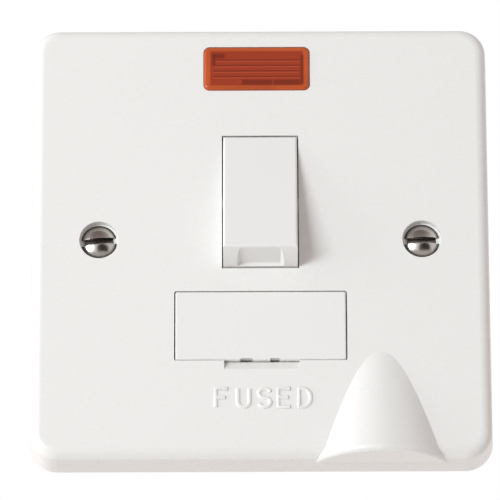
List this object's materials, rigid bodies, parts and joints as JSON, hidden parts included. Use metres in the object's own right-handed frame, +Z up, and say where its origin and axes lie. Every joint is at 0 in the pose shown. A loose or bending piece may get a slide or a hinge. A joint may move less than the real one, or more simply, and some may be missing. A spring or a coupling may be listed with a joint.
{
  "type": "fused spur unit",
  "caption": "Square flush wall unit with a rocker switch, neon window, pull-out fuse carrier and a hooded flex outlet, fixed by screws into a wall box.",
  "frame": {"origin": "centre of the plate on the wall plane, midway between the fixing screws", "axes": "+X to the right seen from the front, +Y into the wall along the fixing screws, +Z up"},
  "size_m": [0.086, 0.0319, 0.086],
  "materials": {
    "white_moulding": "glossy white thermoset moulding",
    "rocker_white": "glossy white moulding",
    "carrier_white": "glossy white moulding",
    "housing_moulding": "plain white moulding, slightly matt",
    "black_moulding": "black low friction moulding",
    "nickel_screw": "bright nickel plate",
    "plated_steel": "zinc plate",
    "spring_steel": "bright spring wire",
    "bronze_strip": "rolled bronze strip",
    "copper_strip": "rolled copper strip",
    "terminal_brass": "machined brass",
    "silver": "silver contact face",
    "fuse_ceramic": "unglazed ceramic",
    "fuse_cap": "plated end cap",
    "amber_lens": "clear amber moulding",
    "lamp_glass": "clear glass",
    "resistor_body": "lacquered",
    "lead_sleeve": "smooth sleeve"
  },
  "bodies": {
    "casing": {"front_plate": "white_moulding", "rear_housing": "housing_moulding", "housing_screws": "plated_steel", "fixing_screws": "nickel_screw", "fixed_contact_live": "silver", "fixed_contact_neutral": "silver", "supply_live_terminal": "terminal_brass", "supply_neutral_terminal": "terminal_brass", "load_live_terminal": "terminal_brass", "load_neutral_terminal": "terminal_brass", "earth_terminal": "terminal_brass", "live_link": "terminal_brass", "terminal_screws": "plated_steel", "fuse_clip_supply": "bronze_strip", "fuse_clip_load": "bronze_strip", "neon_lens": "amber_lens", "neon_lamp": "lamp_glass", "neon_resistor": "resistor_body", "neon_leads": "lead_sleeve", "cord_clamp": "housing_moulding", "cord_clamp_screws": "plated_steel"},
    "switch_rocker": {"rocker": "rocker_white", "plunger_live": "black_moulding", "plunger_neutral": "black_moulding", "plunger_spring_live": "spring_steel", "plunger_spring_neutral": "spring_steel"},
    "live_blade": {"blade_live": "copper_strip", "blade_contact_live": "silver"},
    "neutral_blade": {"blade_neutral": "copper_strip", "blade_contact_neutral": "silver"},
    "fuse_holder": {"fuse_carrier": "carrier_white", "fuse_barrel": "fuse_ceramic", "fuse_caps": "fuse_cap"}
  },
  "joints": [
    {"name": "rocker_tilt", "type": "hinge", "parent": "casing", "child": "switch_rocker", "pos_m": [0, -0.006, 0.00755], "axis": [1, 0, 0], "range_deg": [0, 26]},
    {"name": "live_blade_tilt", "type": "hinge", "parent": "casing", "child": "live_blade", "pos_m": [0.0038, 0.01085, 0.00755], "axis": [1, 0, 0], "range_deg": [-23, 0]},
    {"name": "neutral_blade_tilt", "type": "hinge", "parent": "casing", "child": "neutral_blade", "pos_m": [-0.0038, 0.01085, 0.00755], "axis": [1, 0, 0], "range_deg": [-23, 0]},
    {"name": "fuse_holder_pull", "type": "slide", "parent": "casing", "child": "fuse_holder", "axis": [0, -1, 0], "range_m": [0, 0.02]}
  ],
  "couplings": [
    {"joint": "live_blade_tilt", "follows": "rocker_tilt", "ratio": -0.88462},
    {"joint": "neutral_blade_tilt", "follows": "rocker_tilt", "ratio": -0.88462}
  ]
}
